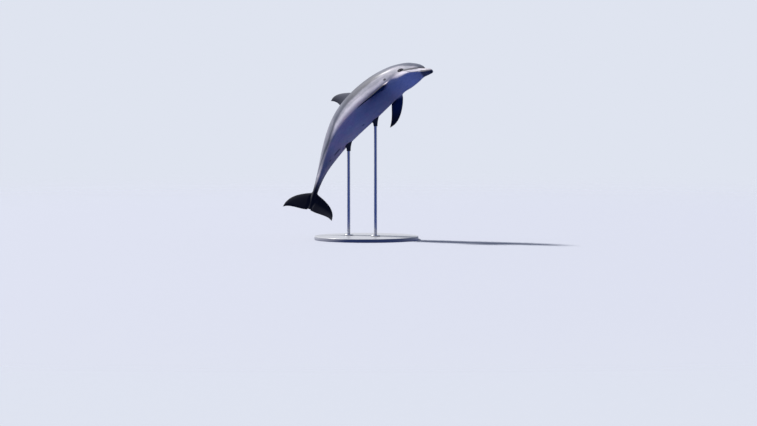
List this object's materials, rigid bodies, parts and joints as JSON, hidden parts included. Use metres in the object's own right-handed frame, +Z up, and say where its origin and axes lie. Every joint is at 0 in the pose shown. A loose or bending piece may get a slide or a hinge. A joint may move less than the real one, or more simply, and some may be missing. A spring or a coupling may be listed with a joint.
{
  "type": "leaping bottlenose dolphin model",
  "caption": "Life-size still model of a leaping bottlenose dolphin, body arched and twisting, held over a round base by two upright rods.",
  "frame": {"origin": "centre of the round base's underside, at floor level", "axes": "+Z up; +X the way the dolphin leaps, towards its snout; +Y to the animal's left and away from the side it is shown from"},
  "size_m": [1.7338, 1.2, 2.0349],
  "materials": {
    "skin_back": "wet smooth skin, dark grey back shading to a paler flank and belly",
    "skin_pale": "wet smooth skin, pale grey underside",
    "skin_fin": "wet smooth skin, near-black grey",
    "eye": "glossy dark eye",
    "stand_board": "satin pale grey lacquer on board",
    "stand_steel": "satin stainless steel",
    "stand_rubber": "matte black rubber"
  },
  "bodies": {
    "root": {"head": "skin_back", "lower_jaw": "skin_pale", "neck": "skin_back", "trunk_front": "skin_back", "trunk_rear": "skin_back", "tail_stock_front": "skin_back", "tail_stock_rear": "skin_back", "dorsal_fin": "skin_fin", "flipper_left": "skin_fin", "flipper_right": "skin_fin", "fluke_left": "skin_fin", "fluke_right": "skin_fin", "eye_left": "eye", "eye_right": "eye", "stand_base": "stand_board", "stand_rod_front": "stand_steel", "stand_rod_rear": "stand_steel", "stand_collar_front": "stand_steel", "stand_collar_rear": "stand_steel", "stand_pad_front": "stand_rubber", "stand_pad_rear": "stand_rubber"}
  },
  "joints": []
}
